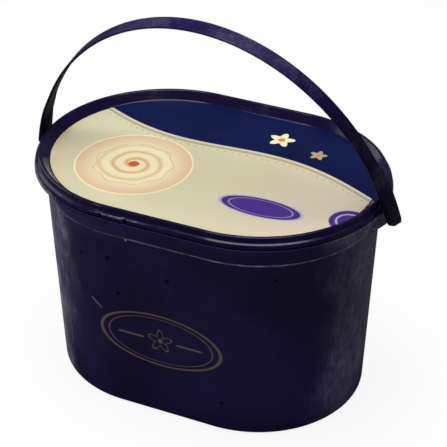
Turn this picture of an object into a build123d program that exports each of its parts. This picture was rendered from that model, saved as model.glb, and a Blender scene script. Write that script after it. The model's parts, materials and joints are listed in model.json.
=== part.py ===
from build123d import *
import math
import os

# An oval four litre ice cream tub, shut: a solid tub with a flared collar, a dished push-fit lid,
# a printed label in the dish, and a strap handle that swings on two studs at the ends.
# +Z is up, X runs along the length, -Y is the front. The origin is the centre of the base.
# All sizes are in millimetres.

# ---- Plan: an oval of two half circles joined by straight sides
STRAIGHT_LENGTH = 68.0        # distance between the centres of the two end arcs
FLANGE_RADIUS = 86.0          # end radius at the widest place, the rim flange

# ---- Tub
WALL_HEIGHT = 136.6           # base to the lower edge of the collar
BASE_RADIUS = 72.2            # end radius at the base
WALL_TOP_RADIUS = 78.4        # end radius where the wall meets the collar
BASE_ROUND = 4.6              # rounding between wall and base
FOOT_RING_WIDTH = 7.0         # flat ring that the tub stands on
FOOT_RECESS = 1.2             # how far the middle of the base is raised
COLLAR_STEP = 0.6             # ledge where the collar stands proud of the wall
COLLAR_HEIGHT = 13.4          # sloping part of the collar
COLLAR_OVERHANG = 1.3         # flange edge beyond the top of the slope
FLANGE_THICKNESS = 2.4
EDGE_ROUND = 0.5              # small roundings of moulded edges

# ---- Lid
LID_WALL = 1.1                # thickness of the lid all over
LID_GAP = 1.1                 # open joint between flange and lid skirt
SKIRT_INSET = 0.7             # lid skirt behind the edge of the flange
SKIRT_HEIGHT = 2.7            # lid skirt up to its shoulder
SHOULDER_DEPTH = 1.8          # width of the shoulder above the skirt
SHOULDER_RISE = 0.6
CROWN_HEIGHT = 3.5            # shoulder to the top of the lid
CROWN_LEAN = 0.5              # the side above the shoulder leans in by this
CROWN_WIDTH = 2.1             # flat top of the rim before rounding
CROWN_ROUND = 0.9
DISH_DEPTH = 6.0              # crown down to the panel
DISH_SLOPE = 52.0             # angle of the dish's sloping side, in degrees
RIM_CLEARANCE = 0.25          # sides of the tub's rim inside the lid's channel
RIM_DROP = 1.0                # top of the tub's rim below the inside of the crown

# ---- Label
LABEL_THICKNESS = 0.3
LABEL_MARGIN = 0.6            # label edge to the foot of the dish's slope

# ---- Ears and handle
PIVOT_DROP = 4.6              # pivot axis below the top of the flange
EAR_RADIUS = 4.2              # round lower end of an ear
EAR_REACH = 2.3               # ear face beyond the flange
RIB_WIDTH = 5.0               # rib under each ear
RIB_OUTER_DROP = 1.0          # rib below the ear at its outer end
RIB_INNER_DROP = 12.5         # and at the wall
STUD_RADIUS = 2.4
STUD_CLEARANCE = 0.05         # radial, stud in its hole
STUD_LENGTH = 7.0             # stud inside the ear
STUD_END_GAP = 0.5
HANDLE_GAP = 1.8              # ear face to the foot of the handle, at the pivot
STRAP_THICKNESS = 1.7
STRAP_WIDTH = 10.8
FOOT_THICKNESS = 3.3
FOOT_WIDTH = 15.4             # widest place of the foot
FOOT_END_WIDTH = 13.4         # at the foot's lower end
FOOT_FLARE_TOP = 42.0         # heights above the pivot where the strap starts to widen
FOOT_FLARE_END = 25.0         # and where it is widest
FOOT_TAPER_TOP = 20.0         # foot thickening starts here
FOOT_END_FRONT = 2.5          # slanting end of the foot, below the pivot at the front edge
FOOT_END_BACK = 8.6           # and at the back edge
FOOT_CORNER = 2.5
HANDLE_RISE = 120.5           # pivot to the top of the arch
ARCH_CENTRE_DROP = 50.6       # centre of the arch's ellipse below the pivot
HANDLE_LEAN = 12.0            # the standing handle leans forward by this angle, in degrees
FOOT_FLARE_ROUND = 32.0       # easing where the strap widens
STRAP_EDGE_ROUND = 0.4
OVERRUN = 1.0                 # how far a cutting shape reaches past the face it cuts

# ---- Places that follow from the sizes above
HALF_STRAIGHT = STRAIGHT_LENGTH / 2
COLLAR_TOP = WALL_HEIGHT + COLLAR_HEIGHT
FLANGE_TOP = COLLAR_TOP + FLANGE_THICKNESS
SKIRT_RADIUS = FLANGE_RADIUS - SKIRT_INSET
SKIRT_BOTTOM = FLANGE_TOP + LID_GAP
SHOULDER_BOTTOM = SKIRT_BOTTOM + SKIRT_HEIGHT
SHOULDER_TOP = SHOULDER_BOTTOM + SHOULDER_RISE
CROWN_TOP = SHOULDER_TOP + CROWN_HEIGHT
PANEL_TOP = CROWN_TOP - DISH_DEPTH
PANEL_BOTTOM = PANEL_TOP - LID_WALL
SIDE_RADIUS = SKIRT_RADIUS - SHOULDER_DEPTH
CROWN_OUTER = SIDE_RADIUS - CROWN_LEAN
CROWN_INNER = CROWN_OUTER - CROWN_WIDTH
SLOPE = math.radians(DISH_SLOPE)
PANEL_RADIUS = CROWN_INNER - DISH_DEPTH / math.tan(SLOPE)
FLANGE_END = HALF_STRAIGHT + FLANGE_RADIUS
PIVOT_HEIGHT = FLANGE_TOP - PIVOT_DROP
EAR_FACE = FLANGE_END + EAR_REACH


def half_section(corners):
    """Closed half section from (radius, height, rounding) corners, standing in the XZ plane."""
    points = [(radius, 0, height) for radius, height, _ in corners]
    rounds = [rounding for _, _, rounding in corners]
    return make_face(FilletPolyline(*points, radius=rounds, close=True))


def oval_solid(corners):
    """Carries a half section round the oval: two half turns at the ends, two straight runs."""
    section = half_section(corners)
    solid = None
    for turn in (-90, 90):
        end_x = HALF_STRAIGHT if turn < 0 else -HALF_STRAIGHT
        start = Pos(end_x, 0, 0) * Rot(0, 0, turn) * section
        end = revolve(start, Axis((end_x, 0, 0), (0, 0, 1)), 180)
        run = extrude(start, STRAIGHT_LENGTH, dir=(-math.copysign(1, end_x), 0, 0))
        solid = end + run if solid is None else solid + end + run
    return solid


def slope_line(offset, height):
    """Radius of the dish's sloping side at a height, moved outwards by an offset."""
    along = CROWN_INNER - (CROWN_TOP - height) / math.tan(SLOPE)
    return along + offset / math.sin(SLOPE)


def make_tub():
    """Solid tub: raised base, drafted wall, flared collar, flange, and the rim inside the lid."""
    ring_inner = BASE_RADIUS - BASE_ROUND - FOOT_RING_WIDTH
    slope_offset = LID_WALL + RIM_CLEARANCE
    rim_top = CROWN_TOP - LID_WALL - RIM_DROP
    rim_outer = CROWN_OUTER - LID_WALL - RIM_CLEARANCE
    corners = [
        (0, FOOT_RECESS, 0),
        (ring_inner - FOOT_RECESS, FOOT_RECESS, EDGE_ROUND),
        (ring_inner, 0, EDGE_ROUND),
        (BASE_RADIUS, 0, BASE_ROUND),
        (WALL_TOP_RADIUS, WALL_HEIGHT, 0),
        (WALL_TOP_RADIUS + COLLAR_STEP, WALL_HEIGHT + COLLAR_STEP, COLLAR_STEP / 2),
        (FLANGE_RADIUS - COLLAR_OVERHANG, COLLAR_TOP, EDGE_ROUND),
        (FLANGE_RADIUS, COLLAR_TOP + COLLAR_STEP / 2, EDGE_ROUND),
        (FLANGE_RADIUS, FLANGE_TOP, EDGE_ROUND),
        (rim_outer, FLANGE_TOP, EDGE_ROUND),
        (rim_outer, rim_top, EDGE_ROUND / 4),
        (slope_line(slope_offset, rim_top), rim_top, 0),
        (slope_line(slope_offset, PANEL_BOTTOM), PANEL_BOTTOM, 0),
        (0, PANEL_BOTTOM, 0),
    ]
    return oval_solid(corners)


def make_ears():
    """Both ears: a plate under the flange with a round lower end, and a sloping rib below it."""
    inner_x = HALF_STRAIGHT + WALL_TOP_RADIUS - OVERRUN
    reach = EAR_FACE - inner_x
    outline = Pos(0, PIVOT_HEIGHT) * Circle(EAR_RADIUS)
    height = FLANGE_TOP - PIVOT_HEIGHT
    outline += Pos(0, PIVOT_HEIGHT + height / 2) * Rectangle(2 * EAR_RADIUS, height)
    ear = extrude(Plane(origin=(inner_x, 0, 0), x_dir=(0, 1, 0), z_dir=(1, 0, 0)) * outline, reach)
    outer_face = ear.faces().sort_by(Axis.X)[-1]
    ear = fillet(outer_face.edges(), EDGE_ROUND)
    ear_bottom = PIVOT_HEIGHT - EAR_RADIUS
    rib_x = EAR_FACE - EDGE_ROUND
    rib = Polyline(
        (inner_x, PIVOT_HEIGHT),
        (rib_x, PIVOT_HEIGHT),
        (rib_x, ear_bottom - RIB_OUTER_DROP),
        (inner_x, ear_bottom - RIB_INNER_DROP),
        close=True,
    )
    ear += extrude(Plane.XZ * make_face(rib), RIB_WIDTH / 2, both=True)
    return ear + mirror(ear, Plane.YZ)


def pivot_rod(radius, inner_x, outer_x):
    """A round bar along X at both pivots, between two distances from the middle."""
    bar = Cylinder(radius, outer_x - inner_x, rotation=(0, 90, 0))
    middle = (inner_x + outer_x) / 2
    return [Pos(side * middle, 0, PIVOT_HEIGHT) * bar for side in (-1, 1)]


def make_lid():
    """Thin lid: label panel, sloping dish side, rounded crown, shoulder and skirt."""
    under_crown = CROWN_TOP - LID_WALL
    side_inner = CROWN_OUTER - LID_WALL
    corners = [
        (0, PANEL_TOP, 0),
        (PANEL_RADIUS, PANEL_TOP, CROWN_ROUND),
        (CROWN_INNER, CROWN_TOP, CROWN_ROUND),
        (CROWN_OUTER, CROWN_TOP, CROWN_ROUND),
        (SIDE_RADIUS, SHOULDER_TOP, EDGE_ROUND),
        (SKIRT_RADIUS, SHOULDER_BOTTOM, CROWN_ROUND),
        (SKIRT_RADIUS, SKIRT_BOTTOM, EDGE_ROUND / 2),
        (SKIRT_RADIUS - LID_WALL, SKIRT_BOTTOM, EDGE_ROUND / 2),
        (SKIRT_RADIUS - LID_WALL, SHOULDER_BOTTOM - LID_WALL, EDGE_ROUND / 2),
        (SIDE_RADIUS - LID_WALL, SHOULDER_TOP - LID_WALL, EDGE_ROUND / 2),
        (side_inner, under_crown, 0),
        (slope_line(LID_WALL, under_crown), under_crown, 0),
        (slope_line(LID_WALL, PANEL_BOTTOM), PANEL_BOTTOM, 0),
        (0, PANEL_BOTTOM, 0),
    ]
    return oval_solid(corners)


def make_label():
    """Thin printed sheet lying on the lid's panel."""
    radius = PANEL_RADIUS - LABEL_MARGIN
    sheet = SlotOverall(STRAIGHT_LENGTH + 2 * radius, 2 * radius)
    return Pos(0, 0, PANEL_TOP) * extrude(sheet, LABEL_THICKNESS)


def arch_region(side_gap, foot_depth, foot_gap):
    """Area under the arch, its ellipse drawn in by side_gap, its feet by foot_gap at their ends."""
    half_height = HANDLE_RISE + ARCH_CENTRE_DROP
    foot_x = EAR_FACE + HANDLE_GAP + FOOT_THICKNESS
    half_span = foot_x / math.sqrt(1 - (ARCH_CENTRE_DROP / half_height) ** 2)
    rx = half_span - side_gap
    ry = half_height - side_gap
    start_height = FOOT_TAPER_TOP if foot_gap else -foot_depth
    start = math.degrees(math.asin((start_height + ARCH_CENTRE_DROP) / ry))
    arc = EllipticalCenterArc((0, -ARCH_CENTRE_DROP), rx, ry, start, arc_size=180 - 2 * start)
    end_x = half_span * math.sqrt(1 - ((ARCH_CENTRE_DROP - foot_depth) / half_height) ** 2) - foot_gap
    right = arc @ 0
    left = arc @ 1
    ends = [right]
    if foot_gap:
        ends += [(end_x, -foot_depth), (-end_x, -foot_depth)]
    ends += [left]
    return make_face(arc + Polyline(*ends))


def foot_outline():
    """Front view of the strap's width against its height: narrow arch, flared and slanting feet."""
    top = HANDLE_RISE + STRAP_WIDTH
    strap = STRAP_WIDTH / 2
    foot = FOOT_WIDTH / 2
    end = FOOT_END_WIDTH / 2
    corners = [
        (-strap, top, 0),
        (-strap, FOOT_FLARE_TOP, FOOT_FLARE_ROUND),
        (-foot, FOOT_FLARE_END, FOOT_FLARE_ROUND),
        (-end, -FOOT_END_FRONT, FOOT_CORNER),
        (end, -FOOT_END_BACK, FOOT_CORNER),
        (foot, FOOT_FLARE_END, FOOT_FLARE_ROUND),
        (strap, FOOT_FLARE_TOP, FOOT_FLARE_ROUND),
        (strap, top, 0),
    ]
    points = [(0, y, z) for y, z, _ in corners]
    rounds = [rounding for _, _, rounding in corners]
    return make_face(FilletPolyline(*points, radius=rounds, close=True))


def make_handle():
    """Flat strap bent into an arch, with thicker feet and a stud on the inside of each foot."""
    foot_depth = FOOT_END_BACK + OVERRUN
    side = arch_region(0, foot_depth, 0) - arch_region(STRAP_THICKNESS, foot_depth, FOOT_THICKNESS)
    strap = extrude(Plane.XZ * side, FOOT_WIDTH / 2, both=True)
    reach = EAR_FACE + HANDLE_GAP + 2 * FOOT_THICKNESS
    strap &= extrude(foot_outline(), reach, both=True, dir=(1, 0, 0))
    strap = fillet(strap.edges(), STRAP_EDGE_ROUND)
    strap = Pos(0, 0, PIVOT_HEIGHT) * Rot(HANDLE_LEAN, 0, 0) * strap
    stud_outer = EAR_FACE + HANDLE_GAP + FOOT_THICKNESS / 2
    for stud in pivot_rod(STUD_RADIUS, EAR_FACE - STUD_LENGTH, stud_outer):
        strap += stud
    return strap


def main():
    os.makedirs("parts", exist_ok=True)
    tub = make_tub() + make_ears()
    bore_depth = STUD_LENGTH + STUD_END_GAP
    for bore in pivot_rod(STUD_RADIUS + STUD_CLEARANCE, EAR_FACE - bore_depth, EAR_FACE + OVERRUN):
        tub -= bore
    nodes = {
        "tub": tub,
        "lid": make_lid(),
        "label": make_label(),
        "handle": make_handle(),
    }
    for name, solid in nodes.items():
        export_step(solid, f"parts/{name}.step")


main()
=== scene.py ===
import json
import math

import bmesh
import bpy
import numpy as np
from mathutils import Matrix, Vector


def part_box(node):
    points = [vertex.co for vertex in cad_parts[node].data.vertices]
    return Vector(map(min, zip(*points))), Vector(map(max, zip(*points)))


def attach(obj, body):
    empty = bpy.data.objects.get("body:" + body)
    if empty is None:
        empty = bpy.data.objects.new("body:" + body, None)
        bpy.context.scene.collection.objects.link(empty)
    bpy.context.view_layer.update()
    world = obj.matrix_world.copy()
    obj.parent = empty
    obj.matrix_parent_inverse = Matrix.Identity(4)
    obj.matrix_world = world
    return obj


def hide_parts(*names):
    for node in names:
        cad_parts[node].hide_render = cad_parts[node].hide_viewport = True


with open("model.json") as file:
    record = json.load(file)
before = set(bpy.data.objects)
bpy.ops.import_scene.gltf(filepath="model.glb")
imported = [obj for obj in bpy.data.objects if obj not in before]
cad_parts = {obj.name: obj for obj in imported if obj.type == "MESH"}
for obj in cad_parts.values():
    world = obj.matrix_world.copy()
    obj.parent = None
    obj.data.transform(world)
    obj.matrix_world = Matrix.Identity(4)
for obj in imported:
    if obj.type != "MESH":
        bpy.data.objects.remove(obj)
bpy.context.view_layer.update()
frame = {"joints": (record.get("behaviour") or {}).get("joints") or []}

bl_info = {
    "name": "Oval ice cream tub",
    "version": (1, 0, 0),
    "blender": (4, 5, 0),
    "location": "3D View > Sidebar > Tub",
    "description": "Builds the looks of a shut oval ice cream tub: body, lid, label and handle",
    "category": "Object",
}

MM = 0.001

# ---- Places read from the frame, in metres
TUB_HIGH = Vector(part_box("tub")[1])
LID_LOW, LID_HIGH = (Vector(corner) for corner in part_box("lid"))
LABEL_LOW, LABEL_HIGH = (Vector(corner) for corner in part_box("label"))
PIVOT = Vector(frame["joints"][0]["pos_m"])

# ---- Fineness of the surfaces
PROFILE_STEP = 9 * MM
LABEL_STEP = 6 * MM
STRAP_STEPS = 221
STRAP_ACROSS = 15
EAR_STEPS = 72
STUD_STEPS = 40
WELD = 0.001 * MM                    # points closer than this are merged
ARC_STEP = math.radians(12)
ALMOST_STRAIGHT = math.radians(89)   # half a corner's angle that needs no rounding
ARC_SIDE_SHARE = 0.49                # the most an arc takes of the shorter side next to it
RIB_REACH = 10 * MM                  # about from the middle of a rib's outline to its sides

# ---- Reflection of each plastic: 0.5 is a plain plastic's
LID_SPECULAR = 0.22
HANDLE_SPECULAR = 0.08
BODY_SPECULAR = 0.12
LABEL_SPECULAR = 0.08
PLASTIC_IOR = 1.49
FILM_IOR = 1.45
# Painted light: above these heights the handle turns to its lighter arch colour, and below them
# its feet keep a darker colour as painted shade
PAINTED_LIGHT_HEIGHTS = (185.0, 262.0)          # heights in millimetres between which the tone changes

# ---- Marks and print on the front wall, in millimetres: x and z, and for a pit its radius
PITS = (
    (5, 112, 1.7),
    (-31, 92, 1.7),
    (-58, 115, 1.6),
    (-37, 118, 1.7),
    (75, 126, 1.3),
    (41, 24, 1.4),
)
PIT_COLOUR = (0.0012, 0.0005, 0.004, 1)
SCRATCH_PLACE = (-48.0, 79.0)
SCRATCH_DIRECTION = (0.8, -0.6)
# A painted glint on the ledge under the collar
LEDGE_GLINT_PLACE = (-23.0, 136.0)
LEDGE_GLINT_RADIUS = 0.9
# Height of the painted highlight line along the ledge under the collar
LEDGE_HEIGHT = 137.2
OVAL_PLACE = (-2.0, 62.0)
OVAL_HALF_WIDTH = 43.0
OVAL_HALF_HEIGHT = 20.0
BLOSSOM_LINE_RADIUS = 6.2
BAR_MIDDLE = 21.0

# ---- Print on the label, in millimetres: x and y, and for a blossom its radius
PRINT_SOFTNESS = 0.35
WAVE_MIDDLE = 27.0
WAVE_SLOPE = 0.22
WAVE_SWING = 11.0
WAVE_LENGTH = 36.0
PLATE_PLACE = (-47.0, -20.0)
PLATE_RADIUS = 38.0
SWIRL_RADIUS = 25.0
BADGE_PLACE = (50.0, -35.0)
BADGE_HALF_WIDTH = 27.0
BADGE_HALF_HEIGHT = 10.5
CORNER_PLACE = (106.0, -27.0)
CORNER_RADIUS = 12.5
BIG_BLOSSOM = (28.0, 50.0, 7.0)
SMALL_BLOSSOM = (58.0, 41.0, 4.6)

# ---- Camera and light
CAMERA_TARGET = Vector((8.24, 0, 111.9)) * MM
CAMERA_DISTANCE = 1105.9 * MM
CAMERA_AZIMUTH = math.radians(24.96)
CAMERA_ELEVATION = math.radians(32.09)
CAMERA_LENS = 134.3
WORLD_LIGHT = 0.16
WORLD_SEEN = 0.91
FLOOR_HALF = 6.0
FLOOR_GLOW_SHARE = 0.9
# Name, azimuth and elevation in degrees, distance and size in metres, watts
LAMPS = (
    ("overhead", 0, 88, 1.3, 0.9, 20),
    ("left", -92, 26, 1.5, 1.2, 9),
    ("front", -34, 20, 1.5, 0.2, 3),
)

# ---- Sockets that nodes name only by number
OBJECT_COORDINATES = 3
CAMERA_RAY = 0
GLOSSY_RAY = 3
MIX_FACTOR = 0
MIX_FIRST = 6
MIX_SECOND = 7
MIX_COLOUR = 2


# ============================== properties
def length(name, description, default):
    """A size in metres, shown in the scene's own unit."""
    return bpy.props.FloatProperty(
        name=name, description=description, default=default, unit="LENGTH", precision=5
    )


def tone(name, description, default):
    """A colour, given as red, green and blue from 0 to 255 as a screen shows it."""
    return bpy.props.FloatVectorProperty(
        name=name,
        description=description,
        default=screen_colour(*default)[:3],
        subtype="COLOR",
        min=0,
        max=1,
    )


def screen_colour(red, green, blue):
    """A screen colour of 0 to 255 made linear, as the shaders take it."""
    part = np.array([red, green, blue]) / 255
    low = part / 12.92
    high = ((part + 0.055) / 1.055) ** 2.4
    return (*np.where(part <= 0.04045, low, high).tolist(), 1.0)


class TubSizes(bpy.types.PropertyGroup):
    """Sizes of the tub's body."""

    straight: length("Straight run", "Between the centres of the end arcs", 68 * MM)
    base_radius: length("Base radius", "End radius at the base", 72.2 * MM)
    base_round: length("Base rounding", "Rounding between wall and base", 4.6 * MM)
    foot_ring: length("Foot ring", "Width of the ring that the tub stands on", 7 * MM)
    foot_recess: length("Foot recess", "How far the middle of the base is raised", 1.2 * MM)
    wall_top: length("Wall top radius", "End radius below the collar", 78.4 * MM)
    wall_height: length("Wall height", "Base to the collar", 136.6 * MM)
    collar_step: length("Collar step", "Ledge at the collar's lower edge", 0.6 * MM)
    collar_height: length("Collar height", "Height of the collar's slope", 13.4 * MM)
    overhang: length("Flange overhang", "Flange edge beyond the collar", 1.3 * MM)
    flange: length("Flange thickness", "Thickness of the rim flange", 2.4 * MM)
    edge_round: length("Edge rounding", "Rounding of moulded edges", 0.5 * MM)
    ear_radius: length("Ear radius", "Round lower end of an ear", 4.2 * MM)
    bore_radius: length("Bore radius", "Hole in an ear", 2.45 * MM)
    bore_depth: length("Bore depth", "Depth of the hole in an ear", 7.5 * MM)
    rib_width: length("Rib width", "Rib under an ear", 5 * MM)
    rib_outer_drop: length("Rib outer drop", "Rib below the ear at its outer end", 1 * MM)
    rib_inner_drop: length("Rib inner drop", "Rib below the ear at the wall", 12.5 * MM)


class LidSizes(bpy.types.PropertyGroup):
    """Sizes of the lid."""

    wall: length("Lid wall", "Thickness of the lid", 1.1 * MM)
    skirt: length("Skirt height", "Skirt up to the shoulder", 2.7 * MM)
    shoulder_depth: length("Shoulder depth", "Width of the shoulder", 1.8 * MM)
    shoulder_rise: length("Shoulder rise", "Height of the shoulder's slope", 0.6 * MM)
    crown_lean: length("Crown lean", "The side above the shoulder leans in by this", 0.5 * MM)
    crown_width: length("Crown width", "Top of the rim before rounding", 2.1 * MM)
    crown_round: length("Crown rounding", "Rounding of the rim", 0.9 * MM)
    dish_depth: length("Dish depth", "Rim down to the panel", 6 * MM)
    dish_run: length("Dish run", "Width of the dish's sloping side", 4.69 * MM)
    tab_start: length("Tear tab start", "Left notch of the tear tab, along X", -37 * MM)
    tab_length: length("Tear tab length", "Between the tear tab's notches", 17.4 * MM)
    tab_proud: length("Tear tab height", "How far the tear tab stands out", 0.4 * MM)
    notch_half: length("Notch half width", "Half width of a notch", 1.8 * MM)
    notch_depth: length("Notch depth", "Depth of a notch in the shoulder", 1.4 * MM)


class HandleSizes(bpy.types.PropertyGroup):
    """Sizes of the strap handle."""

    thickness: length("Strap thickness", "Thickness of the strap", 1.7 * MM)
    width: length("Strap width", "Width of the arch", 10.8 * MM)
    foot_thickness: length("Foot thickness", "Thickness of a foot's end", 3.3 * MM)
    foot_width: length("Foot width", "Widest place of a foot", 15.4 * MM)
    foot_end_width: length("Foot end width", "Width at a foot's lower end", 13.4 * MM)
    flare_top: length("Flare top", "The strap starts to widen here, above the pivot", 42 * MM)
    flare_end: length("Flare end", "The foot is widest here, above the pivot", 25 * MM)
    taper_top: length("Taper top", "The foot starts to thicken here", 20 * MM)
    end_front: length("Front corner drop", "Foot's end below the pivot, front", 2.5 * MM)
    end_back: length("Back corner drop", "Foot's end below the pivot, back", 8.6 * MM)
    corner: length("Foot corner", "Rounding of a foot's corners", 2.5 * MM)
    rise: length("Rise", "Pivot to the top of the arch", 120.5 * MM)
    centre_drop: length("Centre drop", "Arch's centre below the pivot", 50.6 * MM)
    foot_reach: length("Foot reach", "Middle to the outside of a foot at the pivot", 127.2 * MM)
    lean: bpy.props.FloatProperty(
        name="Lean",
        description="How far the handle leans forward",
        default=math.radians(12),
        subtype="ANGLE",
    )
    edge_round: length("Edge rounding", "Rounding of the strap's edges", 0.4 * MM)
    stud_radius: length("Stud radius", "Pivot stud", 2.4 * MM)
    stud_length: length("Stud length", "Stud beyond the ear's face", 7 * MM)


class Colours(bpy.types.PropertyGroup):
    """Colours of the plastic and of the print."""

    body: tone("Body", "Tub plastic", (17, 10, 44))
    tint: tone("Tint", "Bluer patches of the tub plastic", (27, 19, 68))
    # Haze also colours the painted highlights on the lid's tear tab and along the body's ledge
    haze_and_highlight: tone("Haze", "Rubbed and frosted plastic", (150, 147, 168))
    lid: tone("Lid", "Lid plastic", (16, 8, 44))
    # Handle and arch are lit and shaded copies of the handle's plastic: the arch's paler top is
    # painted light and the dark feet are painted shade
    handle: tone("Handle", "Handle plastic at the feet", (9, 4, 28))
    arch: tone("Arch", "Handle plastic at the top of the arch", (24, 13, 62))
    cream: tone("Cream", "Pale field of the label", (194, 188, 158))
    navy: tone("Navy", "Dark field of the label", (11, 20, 64))
    beige: tone("Beige", "Stripe between the fields", (152, 144, 112))
    peach: tone("Peach", "Round field of the label", (206, 168, 138))
    custard: tone("Custard", "Swirl on the round field", (218, 208, 172))
    caramel: tone("Caramel", "Shade of the swirl", (196, 142, 84))
    violet: tone("Violet", "Small violet fields", (66, 44, 122))
    gold: tone("Gold", "Thin lines on the front", (96, 78, 58))
    mauve: tone("Mauve", "Tint of the label's right side", (204, 184, 176))
    silver: tone("Silver", "Outlines of the violet fields", (160, 156, 172))
    amber: tone("Amber", "Hearts of the blossoms", (202, 112, 60))
    toffee: tone("Toffee", "Heart of the swirl", (172, 92, 48))


# ============================== surfaces
def eased(value, low, high):
    """0 below low, 1 above high, and a smooth cubic between."""
    share = np.clip((value - low) / (high - low), 0, 1)
    return share * share * (3 - 2 * share)


def rounded(corners):
    """Rounds an open polyline's corners.

    corners holds (radius, height, rounding). At a corner with rounding g the two sides meet in
    an arc of radius g: it starts g / tan(half the corner's angle) before the corner, and its
    points are the arc's centre plus g times a unit vector that turns from one side's normal to
    the other's.
    """
    points = np.array([corner[:2] for corner in corners], float)
    out = [points[:1]]
    for index in range(1, len(points) - 1):
        here = points[index]
        before = points[index - 1] - here
        after = points[index + 1] - here
        before_length = np.linalg.norm(before)
        after_length = np.linalg.norm(after)
        before = before / before_length
        after = after / after_length
        rounding = corners[index][2]
        half = np.arccos(np.clip(before @ after, -1, 1)) / 2
        if rounding <= 0 or half > ALMOST_STRAIGHT:
            out.append(here[None])
            continue
        shorter = min(before_length, after_length)
        reach = min(rounding / math.tan(half), ARC_SIDE_SHARE * shorter)
        true_round = reach * math.tan(half)
        bisector = (before + after) / np.linalg.norm(before + after)
        centre = here + bisector * true_round / math.sin(half)
        first = here + before * reach - centre
        last = here + after * reach - centre
        sweep = math.pi - 2 * half
        share = np.linspace(0, 1, max(4, round(sweep / ARC_STEP)))[:, None]
        arc = np.sin((1 - share) * sweep) * first + np.sin(share * sweep) * last
        out.append(centre + arc / math.sin(sweep))
    out.append(points[-1:])
    return np.concatenate(out)


def spaced(profile, step):
    """Adds points along a profile so that no stretch is longer than step."""
    out = [profile[:1]]
    for start, end in zip(profile[:-1], profile[1:]):
        count = max(1, math.ceil(np.linalg.norm(end - start) / step))
        out.append(start + (end - start) * np.linspace(0, 1, count + 1)[1:, None])
    return np.concatenate(out)


def oval(straight, turn_steps, run_steps):
    """The oval's own parameter: an arc centre's x and a heading for each point round it.

    A point at end radius r is (centre + r cos heading, r sin heading). The heading turns half a
    circle at each end, and between them it stands still while the centre moves along.
    """
    quarter = math.pi / 2
    turn = np.linspace(-quarter, quarter, turn_steps, endpoint=False)
    run = np.linspace(straight / 2, -straight / 2, run_steps, endpoint=False)
    centre = np.concatenate(
        [np.full(turn_steps, straight / 2), run, np.full(turn_steps, -straight / 2), -run]
    )
    heading = np.concatenate(
        [turn, np.full(run_steps, quarter), turn + math.pi, np.full(run_steps, 3 * quarter)]
    )
    return centre, heading


def carried_round(profile, straight, turn_steps=96, run_steps=24, cut=None):
    """Carries a (radius, height) profile round the oval: (centre + r cos h, r sin h, height).

    cut, if given, changes the radii: a function of radius, centre and heading.
    """
    centre, heading = oval(straight, turn_steps, run_steps)
    radius = profile[:, 0][:, None]
    if cut:
        radius = cut(radius, centre, heading)
    height = profile[:, 1][:, None] + 0 * heading
    return np.stack([centre + radius * np.cos(heading), radius * np.sin(heading), height], -1)


def grid_faces(rows, columns):
    """Quads of a grid whose columns run round and meet."""
    row = np.arange(rows - 1)[:, None] * columns
    column = np.arange(columns)[None]
    next_column = (column + 1) % columns
    quads = [row + column, row + next_column, row + columns + next_column, row + columns + column]
    return np.stack([quad.ravel() for quad in quads], -1)


def make_piece(name, grids, body, node, material):
    """Puts point grids into one mesh, closes its seams and poles, and fixes it to the frame.

    Each grid holds points as rows x columns x 3.
    """
    points = []
    faces = []
    start = 0
    for grid in grids:
        rows, columns = grid.shape[:2]
        points.append(grid.reshape(-1, 3))
        faces.append(grid_faces(rows, columns) + start)
        start += rows * columns
    mesh = bpy.data.meshes.new(name)
    mesh.from_pydata(np.concatenate(points).tolist(), [], np.concatenate(faces).tolist())
    shell = bmesh.new()
    shell.from_mesh(mesh)
    bmesh.ops.remove_doubles(shell, verts=shell.verts, dist=WELD)
    bmesh.ops.recalc_face_normals(shell, faces=shell.faces)
    shell.to_mesh(mesh)
    shell.free()
    mesh.shade_smooth()
    piece = bpy.data.objects.new(name, mesh)
    bpy.context.scene.collection.objects.link(piece)
    piece.data.materials.append(material)
    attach(piece, body)
    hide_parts(node)


# ============================== shader maths
class Value:
    """A socket that can be used in expressions; each operation adds a Math node."""

    def __init__(self, paint, socket):
        self.paint = paint
        self.socket = socket

    def math(self, operation, *others):
        """This value and the others through one Math node."""
        inputs = dict(enumerate((self, *others)))
        return self.paint.node("ShaderNodeMath", {"operation": operation}, inputs)

    def __add__(self, other):
        return self.math("ADD", other)

    def __sub__(self, other):
        return self.math("SUBTRACT", other)

    def __rsub__(self, other):
        return self.paint.node("ShaderNodeMath", {"operation": "SUBTRACT"}, {0: other, 1: self})

    def __mul__(self, other):
        return self.math("MULTIPLY", other)

    def __truediv__(self, other):
        return self.math("DIVIDE", other)

    def __neg__(self):
        return self.math("MULTIPLY", -1.0)

    __radd__ = __add__
    __rmul__ = __mul__

    def power(self, exponent):
        """This value raised to a power."""
        return self.math("POWER", exponent)

    def magnitude(self):
        """This value without its sign."""
        return self.math("ABSOLUTE")

    def capped(self):
        """This value, but never more than 1."""
        return self.math("MINIMUM", 1.0)

    def within(self, low, high):
        """Eases from 0 at low to 1 at high."""
        settings = {"interpolation_type": "SMOOTHSTEP"}
        return self.paint.node("ShaderNodeMapRange", settings, {0: self, 1: low, 2: high})


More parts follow.
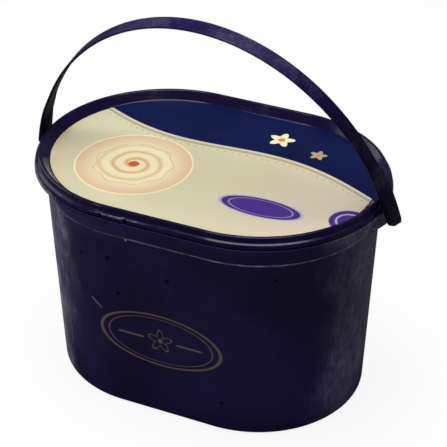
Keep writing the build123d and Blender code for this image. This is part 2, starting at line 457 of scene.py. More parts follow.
class Paint:
    """One material: every node of it comes from node()."""

    def __init__(self, name):
        self.material = bpy.data.materials.new(name)
        self.material.use_nodes = True
        self.tree = self.material.node_tree
        self.tree.nodes.clear()

    def node(self, kind, settings=None, inputs=None, output=0):
        """Adds a node, sets its settings and then its inputs, and gives one of its outputs."""
        made = self.tree.nodes.new(kind)
        for key, value in (settings or {}).items():
            setattr(made, key, value)
        for key, value in (inputs or {}).items():
            if isinstance(value, Value):
                self.tree.links.new(value.socket, made.inputs[key])
            else:
                made.inputs[key].default_value = value
        return Value(self, made.outputs[output] if made.outputs else None)

    def place(self):
        """Object coordinates in millimetres, as x, y and z."""
        where = self.node("ShaderNodeTexCoord", output=OBJECT_COORDINATES)
        split = self.node("ShaderNodeSeparateXYZ", inputs={0: where})
        outputs = split.socket.node.outputs
        return where, [Value(self, outputs[axis]) * (1 / MM) for axis in range(3)]

    def noise(self, where, scale, detail=4.0, roughness=0.55):
        """Noise from 0 to 1 at a scale given in repeats a metre."""
        inputs = {"Vector": where, "Scale": scale, "Detail": detail, "Roughness": roughness}
        return self.node("ShaderNodeTexNoise", inputs=inputs)

    def cells(self, where, scale):
        """Distance to the nearest of many scattered points, at a scale in points a metre."""
        return self.node("ShaderNodeTexVoronoi", inputs={"Vector": where, "Scale": scale})

    def mix(self, factor, first, second):
        """One colour blended into another by a factor."""
        inputs = {MIX_FACTOR: factor, MIX_FIRST: first, MIX_SECOND: second}
        return self.node("ShaderNodeMix", {"data_type": "RGBA"}, inputs, output=MIX_COLOUR)

    def bump(self, height, distance, normal=None):
        """A normal from a height between 0 and 1 that stands for a distance in metres."""
        inputs = {"Height": height, "Distance": distance}
        if normal:
            inputs["Normal"] = normal
        return self.node("ShaderNodeBump", inputs=inputs)

    def finish(self, inputs):
        """The Principled shader on the material's output."""
        shader = self.node("ShaderNodeBsdfPrincipled", inputs=inputs)
        self.node("ShaderNodeOutputMaterial", inputs={0: shader})
        return self.material


def colour(value, share=1.0):
    """A colour property with full alpha, made darker by a share."""
    return (*(part * share for part in value), 1.0)


def distance_to(x, y, place):
    """Distance from a place in the plane of x and y."""
    dx = x - place[0]
    dy = y - place[1]
    return (dx * dx + dy * dy).power(0.5)


def oval_distance(x, y, place, half_width, half_height):
    """Distance from a place that is 1 all along an oval."""
    along = (x - place[0]) / half_width
    up = (y - place[1]) / half_height
    return (along * along + up * up).power(0.5)


def angle_about(x, y, place):
    """Angle of x and y round a place, in radians."""
    return (y - place[1]).math("ARCTAN2", x - place[0])


def petals(x, y, place, radius, swing):
    """Distance to a blossom's outline, whose radius swings five times in a turn."""
    wave = (angle_about(x, y, place) * 5.0).math("SINE")
    return distance_to(x, y, place) - radius - swing * wave


def tab_painted_highlight(x, y, z):
    """Painted highlight: paler plastic along the shoulder's edge, at the lid's tear tab.

    A band along X and a band of heights above the skirt's lower edge, both in millimetres and
    soft at their ends, on the side that faces -Y.
    """
    above_skirt = z - LID_LOW.z / MM
    along = x.within(-41.0, -37.0) * x.within(0.0, -16.0)
    across = above_skirt.within(2.0, 2.4) * above_skirt.within(3.1, 2.8)
    return along * across * y.within(-60.0, -70.0)


def plastic(name, base, lit_upper, haze_and_highlight, haze_amount, roughness, specular, painted_highlight=None):
    """Glossy moulded plastic, pale in blotches, with fine scuffs, a slightly uneven face and,
    where given, a painted highlight.

    It turns from its base colour to an upper one above the lid: on the handle that is painted
    light on the arch's top, with the darker feet as painted shade.
    """
    paint = Paint(name)
    where, (x, y, z) = paint.place()
    blotch = paint.noise(where, 22.0, 5.0, 0.65).within(0.48, 0.72)
    grain = paint.noise(where, 420.0, 3.0, 0.6).within(0.35, 0.75)
    paleness = blotch * (0.35 + 0.65 * grain) * haze_amount
    # A painted highlight, where given, adds to the paleness
    if painted_highlight:
        paleness = (paleness + painted_highlight(x, y, z) * (0.1 + 0.34 * grain)).capped()
    soft = paint.noise(where, 9.0, 2.0)
    dents = paint.noise(where, 60.0, 2.0)
    normal = paint.bump(soft, 1.2 * MM)
    normal = paint.bump(dents, 0.05 * MM, normal=normal)
    # Painted light: the colour turns to the lighter upper one towards the top
    painted_light_tone = paint.mix(z.within(*PAINTED_LIGHT_HEIGHTS), colour(base), colour(lit_upper))
    return paint.finish(
        {
            "Base Color": paint.mix(paleness, painted_light_tone, colour(haze_and_highlight)),
            "Roughness": roughness + 0.25 * paleness,
            "IOR": PLASTIC_IOR,
            "Specular IOR Level": specular,
            "Normal": normal,
        }
    )


def frost_and_highlight(paint, where, x, y, z):
    """Frost and rubbing on the body plus a painted highlight along the ledge, from 0 to 1, and the
    fine mottle it is made of.

    Its edge wanders with a coarse noise. It is strong at the left end, faint at the right one and
    weaker at the back. A painted highlight runs along the ledge under the collar, broken up by
    noise.
    """
    stretched = {0: where, 1: (1.0, 1.0, 0.5)}
    tall = paint.node("ShaderNodeVectorMath", {"operation": "MULTIPLY"}, stretched)
    wander = (paint.noise(tall, 26.0, 4.0, 0.6) - 0.5) * 46.0
    front_share = 0.25 + 0.75 * y.within(5.0, -40.0)
    left = (wander - x).within(66.0, 102.0) * front_share
    right = (wander + x).within(92.0, 116.0) * 0.34
    blotch = paint.noise(tall, 60.0, 5.0, 0.7).within(0.3, 0.7)
    mottle = paint.noise(tall, 260.0, 6.0, 0.75).within(0.38, 0.6)
    thinner_above = 1 - z.within(60.0, 150.0) * 0.2
    paleness = (left + right) * (0.5 + 0.5 * blotch) * (0.4 + 0.6 * mottle) * thinner_above
    flakes = paint.cells(tall, 190.0).within(0.16, 0.3)
    paleness = paleness * (0.7 + 0.3 * flakes)
    # Painted highlight: a pale line along the ledge under the collar, broken up by noise
    ledge_highlight = (z - LEDGE_HEIGHT).magnitude().within(1.2, 0.5)
    highlight_breaks = paint.noise(where, 80.0, 5.0, 0.75).within(0.42, 0.62)
    return (paleness + ledge_highlight * (0.2 + 0.8 * highlight_breaks) * 0.45).capped(), mottle


def body_plastic(colours):
    """The tub's plastic: frosted at both ends, with a painted highlight and a painted glint along
    the ledge under the collar, and pits, scuffs and thin gold lines in front.
    """
    paint = Paint("tub_plastic")
    where, (x, y, z) = paint.place()
    paleness, mottle = frost_and_highlight(paint, where, x, y, z)
    tint = paint.noise(where, 13.0, 5.0, 0.6).within(0.35, 0.7)
    base = paint.mix(tint * 0.8, colour(colours.body), colour(colours.tint))
    # Frost, with the ledge's painted highlight, in the haze colour
    base = paint.mix(paleness, base, colour(colours.haze_and_highlight))
    base = paint.mix(front_print(x, y, z) * 0.85, base, colour(colours.gold))
    pale, dark = wall_marks(x, y, z)
    base = paint.mix(dark, base, PIT_COLOUR)
    # The scratch and the ledge's painted glint, in beige
    base = paint.mix(pale * 0.5, base, colour(colours.beige))
    soft = paint.noise(where, 8.0, 2.0)
    dents = paint.noise(where, 46.0, 3.0)
    normal = paint.bump(soft, 2.2 * MM)
    normal = paint.bump(dents, 0.14 * MM, normal=normal)
    normal = paint.bump(1 - dark, 0.3 * MM, normal=normal)
    return paint.finish(
        {
            "Base Color": base,
            "Roughness": 0.3 + 0.16 * mottle + 0.25 * paleness,
            "IOR": PLASTIC_IOR,
            "Specular IOR Level": BODY_SPECULAR,
            "Normal": normal,
        }
    )


def spot(x, z, place, radius):
    """1 within a radius of a place on the front wall, easing to 0 outside it."""
    return distance_to(x, z, place).within(radius * 1.3, radius * 0.7)


def wall_marks(x, y, z):
    """Pale scuffs, a painted glint on the ledge under the collar and dark pits on the side of the
    wall that faces -Y.
    """
    front = y.within(-8.0, -14.0)
    dark = 0.0
    for *place, radius in PITS:
        dark = spot(x, z, place, radius) + dark
    dx = x - SCRATCH_PLACE[0]
    dz = z - SCRATCH_PLACE[1]
    along = dx * SCRATCH_DIRECTION[0] + dz * SCRATCH_DIRECTION[1]
    across = dz * SCRATCH_DIRECTION[0] - dx * SCRATCH_DIRECTION[1]
    scratch = across.magnitude().within(0.8, 0.2) * along.magnitude().within(5.5, 4.0)
    # The scratch plus a painted glint: a pale dot on the ledge under the collar
    pale = scratch * 0.7 + spot(x, z, LEDGE_GLINT_PLACE, LEDGE_GLINT_RADIUS)
    return pale * front, dark.capped() * front


def front_print(x, y, z):
    """Thin gold lines on the front wall: two ovals, a small blossom and a bar on each side."""
    front = y.within(-20.0, -30.0)
    distance = oval_distance(x, z, OVAL_PLACE, OVAL_HALF_WIDTH, OVAL_HALF_HEIGHT)
    outer = (distance - 1.0).magnitude().within(0.035, 0.02)
    inner = (distance - 0.87).magnitude().within(0.016, 0.006)
    outline = petals(x, z, OVAL_PLACE, BLOSSOM_LINE_RADIUS, 2.4).magnitude().within(0.8, 0.3)
    heart = distance_to(x, z, OVAL_PLACE).within(2.2, 1.5)
    along = ((x - OVAL_PLACE[0]).magnitude() - BAR_MIDDLE).magnitude()
    up = (z - OVAL_PLACE[1]).magnitude()
    bars = along.within(9.5, 8.5) * up.within(0.9, 0.5)
    return (outer + inner + outline + heart + bars).capped() * front


def inside(distance):
    """1 where a distance in millimetres is negative, with a softened edge."""
    return distance.within(PRINT_SOFTNESS, -PRINT_SOFTNESS)


def line(distance, half_width):
    """1 along a line where a distance is zero."""
    return inside(distance.magnitude() - half_width)


def cream_field(paint, colours, where, x, shade):
    """The label's pale ground: clouded, specked, blushing in places and mauve to the right."""
    cream = paint.mix(shade, colour(colours.cream), colour(colours.cream, 0.86))
    seeds = paint.cells(where, 150.0).within(0.09, 0.05)
    cream = paint.mix(seeds * 0.3, cream, colour(colours.caramel))
    blush = paint.noise(where, 19.0, 3.0).within(0.5, 0.75) * 0.28
    cream = paint.mix(blush, cream, colour(colours.peach))
    return paint.mix(x.within(20.0, 90.0) * 0.4, cream, colour(colours.mauve))


def swirl_plate(paint, colours, base, where, x, y):
    """A round peach field with a swirl on it: the shade follows the sine of radius plus angle."""
    distance = distance_to(x, y, PLATE_PLACE)
    plate = paint.mix(distance.within(22.0, 39.0), colour(colours.custard), colour(colours.peach))
    base = paint.mix(inside(distance - PLATE_RADIUS) * 0.8, base, plate)
    base = paint.mix(line(distance - PLATE_RADIUS - 0.6, 0.6), base, colour(colours.custard))
    turn = angle_about(x, y, PLATE_PLACE)
    wander = paint.noise(where, 60.0, 3.0) * 2.4
    fold = ((distance * 0.7 + turn + wander).math("SINE") * 0.5 + 0.5).power(3.0)
    shaded = fold * distance.within(30.0, 8.0) * 0.5 + fold * 0.3
    swirl = paint.mix(shaded, colour(colours.custard), colour(colours.caramel))
    edge = distance - SWIRL_RADIUS - (turn * 9.0 + distance * 0.2).math("SINE")
    base = paint.mix(inside(edge - 0.9) * 0.5, base, colour(colours.caramel))
    base = paint.mix(inside(edge), base, swirl)
    return paint.mix(inside(distance - 3.0 - wander * 0.5), base, colour(colours.toffee))


def wave_fields(paint, colours, base, where, x, y):
    """The navy field behind a wave, with a beige stripe and a row of dots along its edge."""
    wave = y - WAVE_MIDDLE + WAVE_SLOPE * x - WAVE_SWING * (x / WAVE_LENGTH).math("SINE")
    base = paint.mix(line(wave + 3.4, 1.3) * 0.9, base, colour(colours.beige))
    cloud = paint.noise(where, 16.0, 4.0).within(0.3, 0.8)
    dot_x = x.math("PINGPONG", 2.6)
    dot_y = wave + 7.2
    dots = (dot_x * dot_x + dot_y * dot_y).power(0.5) - 0.8
    base = paint.mix(inside(dots) * 0.7, base, colour(colours.beige))
    navy = paint.mix(cloud, colour(colours.navy), colour(colours.navy, 0.55))
    return paint.mix(inside(-wave), base, navy)


def blossom(paint, colours, base, x, y, flower, petal_colour):
    """A blossom with a heart; flower is its x, its y and its petals' mean radius."""
    *place, radius = flower
    base = paint.mix(inside(petals(x, y, place, radius, radius * 0.3)), base, petal_colour)
    heart = inside(distance_to(x, y, place) - radius * 0.35)
    return paint.mix(heart, base, colour(colours.amber))


def violet_fields(paint, colours, base, x, y):
    """An oval badge and a round corner field, both violet with silver outlines."""
    violet = colour(colours.violet)
    silver = colour(colours.silver)
    badge = oval_distance(x, y, BADGE_PLACE, BADGE_HALF_WIDTH, BADGE_HALF_HEIGHT)
    base = paint.mix(badge.within(1.08, 1.05), base, silver)
    base = paint.mix(badge.within(1.0, 0.97), base, violet)
    base = paint.mix((badge - 0.8).magnitude().within(0.03, 0.015) * 0.6, base, silver)
    corner = distance_to(x, y, CORNER_PLACE)
    base = paint.mix(inside(corner - CORNER_RADIUS), base, violet)
    return paint.mix(line(corner - 8.0, 0.7), base, silver)


def label_print(colours):
    """Printed film: a cream field, a navy field behind a wave, and a few plain round shapes."""
    paint = Paint("label_print")
    where, (x, y, _) = paint.place()
    shade = paint.noise(where, 7.0, 2.0).within(0.25, 0.8)
    base = cream_field(paint, colours, where, x, shade)
    base = swirl_plate(paint, colours, base, where, x, y)
    base = wave_fields(paint, colours, base, where, x, y)
    base = blossom(paint, colours, base, x, y, BIG_BLOSSOM, colour(colours.custard))
    base = blossom(paint, colours, base, x, y, SMALL_BLOSSOM, colour(colours.beige))
    base = violet_fields(paint, colours, base, x, y)
    creases = paint.noise(where, 38.0, 3.0)
    return paint.finish(
        {
            "Base Color": base,
            "Roughness": 0.28 + 0.1 * shade,
            "IOR": FILM_IOR,
            "Specular IOR Level": LABEL_SPECULAR,
            "Normal": paint.bump(creases, 0.12 * MM),
        }
    )


# ============================== pieces
def tub_profile(size):
    """Half section of the body, from the middle of the base to the middle of its top."""
    collar_top = size.wall_height + size.collar_height
    flange_radius = TUB_HIGH.y
    ring_inner = size.base_radius - size.base_round - size.foot_ring
    step = size.collar_step
    edge = size.edge_round
    corners = [
        (0, size.foot_recess, 0),
        (ring_inner - size.foot_recess, size.foot_recess, edge),
        (ring_inner, 0, edge),
        (size.base_radius, 0, size.base_round),
        (size.wall_top, size.wall_height, 0),
        (size.wall_top + step, size.wall_height + step, step / 2),
        (flange_radius - size.overhang, collar_top, edge),
        (flange_radius, collar_top + step / 2, edge),
        (flange_radius, collar_top + size.flange, edge),
        (0, collar_top + size.flange, 0),
    ]
    return spaced(rounded(corners), PROFILE_STEP)


def rings_along_x(rows, angle, side):
    """Rings round the pivot's axis, one for each (x, distance from the axis) in rows."""
    rings = []
    for x, reach in rows:
        across = reach * np.cos(angle)
        up = PIVOT.z + reach * np.sin(angle)
        rings.append(np.stack([np.full_like(angle, side * x), across, up], -1))
    return np.array(rings)


def ear_grid(size, side):
    """One ear, in polar form round the pivot.

    Its outline's distance from the pivot is the ear's radius below and the nearer of the two
    straight sides above. Rows carry it out along X, round the face's edge, over the face to the
    hole, and down the hole.
    """
    top = size.wall_height + size.collar_height + size.flange - PIVOT.z
    corner = math.atan2(top, size.ear_radius)
    even = np.linspace(-math.pi, math.pi, EAR_STEPS, endpoint=False)
    angle = np.unique(np.r_[even, corner, math.pi - corner])
    with np.errstate(divide="ignore"):
        above = np.minimum(size.ear_radius / np.abs(np.cos(angle)), top / np.abs(np.sin(angle)))
    outline = np.where(angle > 0, above, size.ear_radius)
    face = TUB_HIGH.x
    edge = size.edge_round
    root = size.straight / 2 + size.wall_top - MM
    bottom = face - size.bore_depth
    bore = np.full_like(outline, size.bore_radius)
    rows = [(root, outline)]
    for turn in np.linspace(0, math.pi / 2, 5):
        rows.append((face - edge + edge * math.sin(turn), outline - edge * (1 - math.cos(turn))))
    rows += [(face, bore), (bottom, bore), (bottom, 0 * bore)]
    return rings_along_x(rows, angle, side)


def rib_grid(size, side):
    """The sloping rib below an ear: a four-sided outline in X and Z, carried across its width.

    At both faces the outline shrinks towards its middle, which takes the edges off.
    """
    root = size.straight / 2 + size.wall_top - 2 * MM
    outer = TUB_HIGH.x - size.edge_round
    bottom = PIVOT.z - size.ear_radius
    outline = np.array(
        [
            [root, PIVOT.z],
            [outer, PIVOT.z],
            [outer, bottom - size.rib_outer_drop],
            [root, bottom - size.rib_inner_drop],
        ]
    )
    middle = outline.mean(0)
    half = size.rib_width / 2
    inner_half = half - size.edge_round
    face = 1 - size.edge_round / RIB_REACH
    rows = []
    near = [(-half, 0), (-half, face), (-inner_half, 1)]
    far = [(-y, share) for y, share in reversed(near)]
    for y, share in near + far:
        shape = middle + (outline - middle) * share
        rows.append(np.stack([side * shape[:, 0], np.full(4, y), shape[:, 1]], -1))
    return np.array(rows)


def lid_profile(size):
    """Half section of the thin lid: over the panel, dish, crown, shoulder and skirt, and back."""
    top = LID_HIGH.z
    low = LID_LOW.z
    skirt_radius = LID_HIGH.y
    shoulder_low = low + size.skirt
    shoulder_top = shoulder_low + size.shoulder_rise
    side = skirt_radius - size.shoulder_depth
    crown_outer = side - size.crown_lean
    crown_inner = crown_outer - size.crown_width
    panel_top = top - size.dish_depth
    panel_radius = crown_inner - size.dish_run
    wall = size.wall
    edge = size.crown_round
    slope = size.dish_run / size.dish_depth
    shift = wall * math.hypot(1, slope)
    corners = [
        (0, panel_top, 0),
        (panel_radius, panel_top, edge * 2),
        (crown_inner, top, edge),
        (crown_outer, top, edge),
        (side, shoulder_top, edge / 2),
        (skirt_radius, shoulder_low, edge),
        (skirt_radius, low, edge / 4),
        (skirt_radius - wall, low, edge / 4),
        (skirt_radius - wall, shoulder_low - wall, edge / 4),
        (side - wall, shoulder_top - wall, edge / 4),
        (crown_outer - wall, top - wall, 0),
        (crown_inner - wall * slope + shift, top - wall, 0),
        (panel_radius - wall * slope + shift, panel_top - wall, 0),
        (0, panel_top - wall, 0),
    ]
    return spaced(rounded(corners), PROFILE_STEP)


def tear_tab(size):
    """Change of the lid's radii that marks off a tear tab on the front of its shoulder.

    Two notches draw the outside in, each a smooth hump of the notch's half width, and the
    stretch between them stands out a little.
    """
    outside = LID_HIGH.y
    notches = (size.tab_start, size.tab_start + size.tab_length)

    def cut(radius, centre, heading):
        front = np.sin(heading) < 0
        place = centre + outside * np.cos(heading)
        hump = sum(np.exp(-2 * ((place - x) / size.notch_half) ** 2) for x in notches)
        rise = eased(place, notches[0], notches[0] + 2 * size.notch_half)
        fall = 1 - eased(place, notches[1] - 2 * size.notch_half, notches[1])
        shoulder = eased(radius, outside - 1.4 * MM, outside - 0.4 * MM)
        limit = outside - size.notch_depth * hump * front
        return np.minimum(radius, limit) + size.tab_proud * rise * fall * front * shoulder

    return cut


def label_profile():
    """Half section of the printed sheet with a rounded rim."""
    radius = LABEL_HIGH.y
    low = LABEL_LOW.z
    high = LABEL_HIGH.z
    edge = (high - low) / 2.2
    corners = [(0, low, 0), (radius, low, edge), (radius, high, edge), (0, high, 0)]
    return spaced(rounded(corners), LABEL_STEP)


def strap_section():
    """The strap's section, a point for each step round it.

    Gives the side and the depth of each point's core corner and the side and depth of its unit
    normal, all from -1 to 1. Round a corner the normal makes a quarter turn; along the two wide
    faces the core point moves across and the normal stands still.
    """
    quarter = np.radians([0, 30, 60, 90])
    across = np.linspace(-1, 1, STRAP_ACROSS)[1:-1]
    level = np.ones_like(across)
    columns = []
    for start, side, depth in ((180, -1, 1), (90, 1, 1), (0, 1, -1), (-90, -1, -1)):
        turn = np.radians(start) - quarter
        columns.append([np.full(4, side), np.full(4, depth), np.cos(turn), np.sin(turn)])
        if side * depth < 0:
            columns.append([depth * across, depth * level, 0 * level, depth * level])
    return (np.concatenate(part)[None] for part in zip(*columns))


def strap_grid(size):
    """The handle's strap.

    Round the section runs a rounded rectangle: a core corner plus the edge rounding times a unit
    vector. Along the arch, the outside follows an ellipse and the inside the same ellipse drawn in
    by the thickness, except that each foot's inside is straight. The width eases out above each
    foot, and the feet's ends slant and have round corners.
    """
    side, depth, side_normal, depth_normal = strap_section()
    edge = size.edge_round
    tall = size.rise + size.centre_drop
    wide = size.foot_reach / math.sqrt(1 - (size.centre_drop / tall) ** 2)
    inner_tall = tall - size.thickness
    inner_wide = wide - size.thickness

    def ellipse_x(height, half_width, half_height):
        """Half width of an ellipse about the arch's centre, at a height above the pivot."""
        up = (height + size.centre_drop) / half_height
        return half_width * np.sqrt(np.clip(1 - up**2, 0, 1))

    # The feet's ends: a slanting line with an arc at each corner
    end_half = size.foot_end_width / 2
    slant = (size.end_back - size.end_front) / 2
    middle_drop = (size.end_back + size.end_front) / 2
    into_corner = np.clip(np.abs(side) * end_half - (end_half - size.corner), 0, size.corner)
    corner_lift = size.corner - np.sqrt(size.corner**2 - into_corner**2)
    end_height = corner_lift - middle_drop - slant * side

    # The outside's and the inside's curve
    low_angle = np.arcsin((end_height + size.centre_drop) / tall)
    share = np.linspace(0, 1, STRAP_STEPS)[:, None]
    angle = low_angle + (math.pi - 2 * low_angle) * share
    outer_x = wide * np.cos(angle)
    outer_z = tall * np.sin(angle) - size.centre_drop
    inner_z = inner_tall * np.sin(angle) - size.centre_drop
    taper_x = ellipse_x(size.taper_top, inner_wide, inner_tall)
    end_x = ellipse_x(-size.end_back, wide, tall) - size.foot_thickness
    down = (size.taper_top - inner_z) / (size.taper_top + size.end_back)
    foot_x = np.sign(np.cos(angle)) * (taper_x + (end_x - taper_x) * down)
    inner_x = np.where(inner_z < size.taper_top, foot_x, inner_wide * np.cos(angle))

    # The width at each height
    height = (outer_z + inner_z) / 2
    narrowing = (size.foot_width - size.width) / 2 * eased(height, size.flare_end, size.flare_top)
    taper = np.clip((size.flare_end - height) / (size.flare_end + size.end_back), 0, 1)
    half_width = size.foot_width / 2 - narrowing
    half_width = half_width - (size.foot_width - size.foot_end_width) / 2 * taper

    thick = np.hypot(outer_x - inner_x, outer_z - inner_z)
    rounding = 2 * edge / thick
    blend = 0.5 + 0.5 * (depth * (1 - rounding) + depth_normal * rounding)
    x = inner_x + (outer_x - inner_x) * blend
    z = inner_z + (outer_z - inner_z) * blend
    y = side * (half_width - edge) + side_normal * edge
    arch = np.stack([x, y, z], -1)

    # Each end closes on the line half way between a point and its twin on the other face
    twin = np.argmin(np.abs(side.T - side) + 2 * (depth.T * depth > 0), axis=1)
    first, last = ((arch[[row]] + arch[[row]][:, twin]) / 2 for row in (0, -1))
    return lean_forward(np.concatenate([first, arch, last]), size)


def lean_forward(points, size):
    """Turns points about the pivot's X axis by the handle's lean and lifts them to the pivot."""
    y = points[..., 1] * math.cos(size.lean) - points[..., 2] * math.sin(size.lean)
    z = points[..., 1] * math.sin(size.lean) + points[..., 2] * math.cos(size.lean)
    return np.stack([points[..., 0], y, z + PIVOT.z], -1)


def stud_grid(size, side):
    """A round pivot stud along X: rings of the stud's radius, closed at both ends."""
    angle = np.linspace(0, 2 * math.pi, STUD_STEPS, endpoint=False)
    inner = TUB_HIGH.x - size.stud_length
    outer = size.foot_reach - size.foot_thickness / 2
    bevel = size.edge_round
    rows = [(inner, 0), (inner, size.stud_radius - bevel), (inner + bevel, size.stud_radius)]
    rows += [(outer, size.stud_radius), (outer, 0)]
    return rings_along_x(rows, angle, side)


class OBJECT_OT_tub_body(bpy.types.Operator):
    """Build the tub's body with its collar, flange and ears"""

    bl_idname = "object.tub_body"
    bl_label = "Tub body"

    def execute(self, context):
        size = context.scene.tub_sizes
        grids = [carried_round(tub_profile(size), size.straight)]
        for side in (-1, 1):
            grids += [ear_grid(size, side), rib_grid(size, side)]
        material = body_plastic(context.scene.tub_colours)
        make_piece("tub_body", grids, "pack", "tub", material)
        return {"FINISHED"}


class OBJECT_OT_tub_lid(bpy.types.Operator):
    """Build the dished lid"""

    bl_idname = "object.tub_lid"
    bl_label = "Lid"

    def execute(self, context):
        size = context.scene.lid_sizes
        straight = context.scene.tub_sizes.straight
        colours = context.scene.tub_colours
        material = plastic(
            "lid_plastic",
            base=colours.lid,
            lit_upper=colours.lid,
            haze_and_highlight=colours.haze_and_highlight,
            haze_amount=0.08,
            roughness=0.13,
            specular=LID_SPECULAR,
            # Painted highlight along the shoulder at the tear tab
            painted_highlight=tab_painted_highlight,
        )
        profile = lid_profile(size)
        grids = [
            carried_round(profile, straight, turn_steps=260, run_steps=90, cut=tear_tab(size))
        ]
        make_piece("lid_shell", grids, "pack", "lid", material)
        return {"FINISHED"}


class OBJECT_OT_tub_label(bpy.types.Operator):
    """Build the printed label in the lid's dish"""

    bl_idname = "object.tub_label"
    bl_label = "Label"

    def execute(self, context):
        straight = context.scene.tub_sizes.straight
        material = label_print(context.scene.tub_colours)
        grids = [carried_round(label_profile(), straight)]
        make_piece("label_sheet", grids, "pack", "label", material)
        return {"FINISHED"}


class OBJECT_OT_tub_handle(bpy.types.Operator):
    """Build the strap handle with its two studs"""

    bl_idname = "object.tub_handle"
    bl_label = "Handle"

    def execute(self, context):
        size = context.scene.handle_sizes
        colours = context.scene.tub_colours
        material = plastic(
            "handle_plastic",
            base=colours.handle,
            # Painted light on the arch's top; the darker feet are painted shade
            lit_upper=colours.arch,
            haze_and_highlight=colours.haze_and_highlight,
            haze_amount=0.15,
            roughness=0.3,
            specular=HANDLE_SPECULAR,
        )
        grids = [strap_grid(size), *(stud_grid(size, side) for side in (-1, 1))]
        make_piece("strap_handle", grids, "bail", "handle", material)
        return {"FINISHED"}


# ============================== stage
def towards(azimuth, elevation):
    """Unit vector from the object to a place at an azimuth from the front and an elevation."""
    flat = math.cos(elevation)
    return Vector((math.sin(azimuth) * flat, -math.cos(azimuth) * flat, math.sin(elevation)))


def soft_lamp(name, azimuth, elevation, distance, size, watts):
    """A square area lamp that faces the object's middle."""
    data = bpy.data.lights.new(name, "AREA")
    data.size = size
    data.energy = watts
    lamp = bpy.data.objects.new(name, data)
    away = towards(math.radians(azimuth), math.radians(elevation))
    lamp.location = CAMERA_TARGET + away * distance
    lamp.rotation_euler = away.to_track_quat("Z", "Y").to_euler()
    bpy.context.scene.collection.objects.link(lamp)


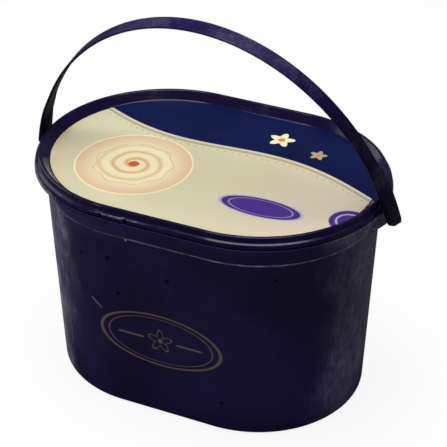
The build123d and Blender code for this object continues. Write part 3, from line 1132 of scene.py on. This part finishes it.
class SCENE_OT_tub_stage(bpy.types.Operator):
    """Set up the floor, lamps, world and camera"""

    bl_idname = "scene.tub_stage"
    bl_label = "Stage"

    def execute(self, context):
        scene = context.scene
        scene.view_settings.view_transform = "Standard"
        self.add_floor()
        self.light_world(scene)
        for lamp in LAMPS:
            soft_lamp(*lamp)
        data = bpy.data.cameras.new("camera")
        data.lens = CAMERA_LENS
        data.clip_end = 20
        camera = bpy.data.objects.new("camera", data)
        away = towards(CAMERA_AZIMUTH, CAMERA_ELEVATION)
        camera.location = CAMERA_TARGET + away * CAMERA_DISTANCE
        camera.rotation_euler = away.to_track_quat("Z", "Y").to_euler()
        scene.collection.objects.link(camera)
        scene.camera = camera
        return {"FINISHED"}

    def add_floor(self):
        """A wide pale floor: white where the camera sees it, but for the object's shadow.

        Reflections meet a darker floor, so that it doesn't grey the dark wall.
        """
        half = FLOOR_HALF
        mesh = bpy.data.meshes.new("floor")
        corners = [(-half, -half, 0), (half, -half, 0), (half, half, 0), (-half, half, 0)]
        mesh.from_pydata(corners, [], [(0, 1, 2, 3)])
        floor = bpy.data.objects.new("floor", mesh)
        bpy.context.scene.collection.objects.link(floor)
        paint = Paint("floor_white")
        pale = paint.node("ShaderNodeBsdfDiffuse", inputs={"Color": (0.8, 0.8, 0.8, 1)})
        dark = paint.node("ShaderNodeBsdfDiffuse", inputs={"Color": (0.1, 0.1, 0.1, 1)})
        glow = paint.node("ShaderNodeEmission", inputs={"Color": (1, 1, 1, 1), "Strength": 1.0})
        seen = paint.node("ShaderNodeLightPath", output=CAMERA_RAY) * FLOOR_GLOW_SHARE
        mirrored = paint.node("ShaderNodeLightPath", output=GLOSSY_RAY)
        plain = paint.node("ShaderNodeMixShader", inputs={0: mirrored, 1: pale, 2: dark})
        both = paint.node("ShaderNodeMixShader", inputs={0: seen, 1: plain, 2: glow})
        paint.node("ShaderNodeOutputMaterial", inputs={0: both})
        mesh.materials.append(paint.material)

    def light_world(self, scene):
        """An even pale surrounding, seen as white by the camera."""
        world = bpy.data.worlds.new("surroundings")
        world.use_nodes = True
        tree = world.node_tree
        light = tree.nodes["Background"]
        light.inputs["Color"].default_value = (1, 1, 1, 1)
        light.inputs["Strength"].default_value = WORLD_LIGHT
        seen = tree.nodes.new("ShaderNodeBackground")
        seen.inputs["Color"].default_value = (WORLD_SEEN, WORLD_SEEN, WORLD_SEEN, 1)
        path = tree.nodes.new("ShaderNodeLightPath")
        both = tree.nodes.new("ShaderNodeMixShader")
        tree.links.new(path.outputs["Is Camera Ray"], both.inputs[0])
        tree.links.new(light.outputs[0], both.inputs[1])
        tree.links.new(seen.outputs[0], both.inputs[2])
        tree.links.new(both.outputs[0], tree.nodes["World Output"].inputs["Surface"])
        scene.world = world


class VIEW3D_PT_tub(bpy.types.Panel):
    """Panel that lists the tub's sizes, colours and build steps."""

    bl_idname = "VIEW3D_PT_tub"
    bl_label = "Ice cream tub"
    bl_space_type = "VIEW_3D"
    bl_region_type = "UI"
    bl_category = "Tub"

    def draw(self, context):
        scene = context.scene
        for title, group in (
            ("Body", scene.tub_sizes),
            ("Lid", scene.lid_sizes),
            ("Handle", scene.handle_sizes),
            ("Colours", scene.tub_colours),
        ):
            box = self.layout.box()
            box.label(text=title)
            for key in group.bl_rna.properties.keys():
                if key not in ("rna_type", "name"):
                    box.prop(group, key)
        for operator in OPERATORS:
            self.layout.operator(operator.bl_idname)


GROUPS = {
    "tub_sizes": TubSizes,
    "lid_sizes": LidSizes,
    "handle_sizes": HandleSizes,
    "tub_colours": Colours,
}
OPERATORS = (
    OBJECT_OT_tub_body,
    OBJECT_OT_tub_lid,
    OBJECT_OT_tub_label,
    OBJECT_OT_tub_handle,
    SCENE_OT_tub_stage,
)


def register():
    """Registers the add-on's classes and hangs its properties on the scene."""
    for name, group in GROUPS.items():
        bpy.utils.register_class(group)
        setattr(bpy.types.Scene, name, bpy.props.PointerProperty(type=group))
    for kind in (*OPERATORS, VIEW3D_PT_tub):
        bpy.utils.register_class(kind)


def unregister():
    """Takes everything off again in the opposite order."""
    for kind in reversed((*OPERATORS, VIEW3D_PT_tub)):
        bpy.utils.unregister_class(kind)
    for name, group in reversed(GROUPS.items()):
        delattr(bpy.types.Scene, name)
        bpy.utils.unregister_class(group)


def main():
    """Builds every piece and the stage."""
    register()
    bpy.ops.object.tub_body()
    bpy.ops.object.tub_lid()
    bpy.ops.object.tub_label()
    bpy.ops.object.tub_handle()
    bpy.ops.scene.tub_stage()


if __name__ == "__main__":
    main()
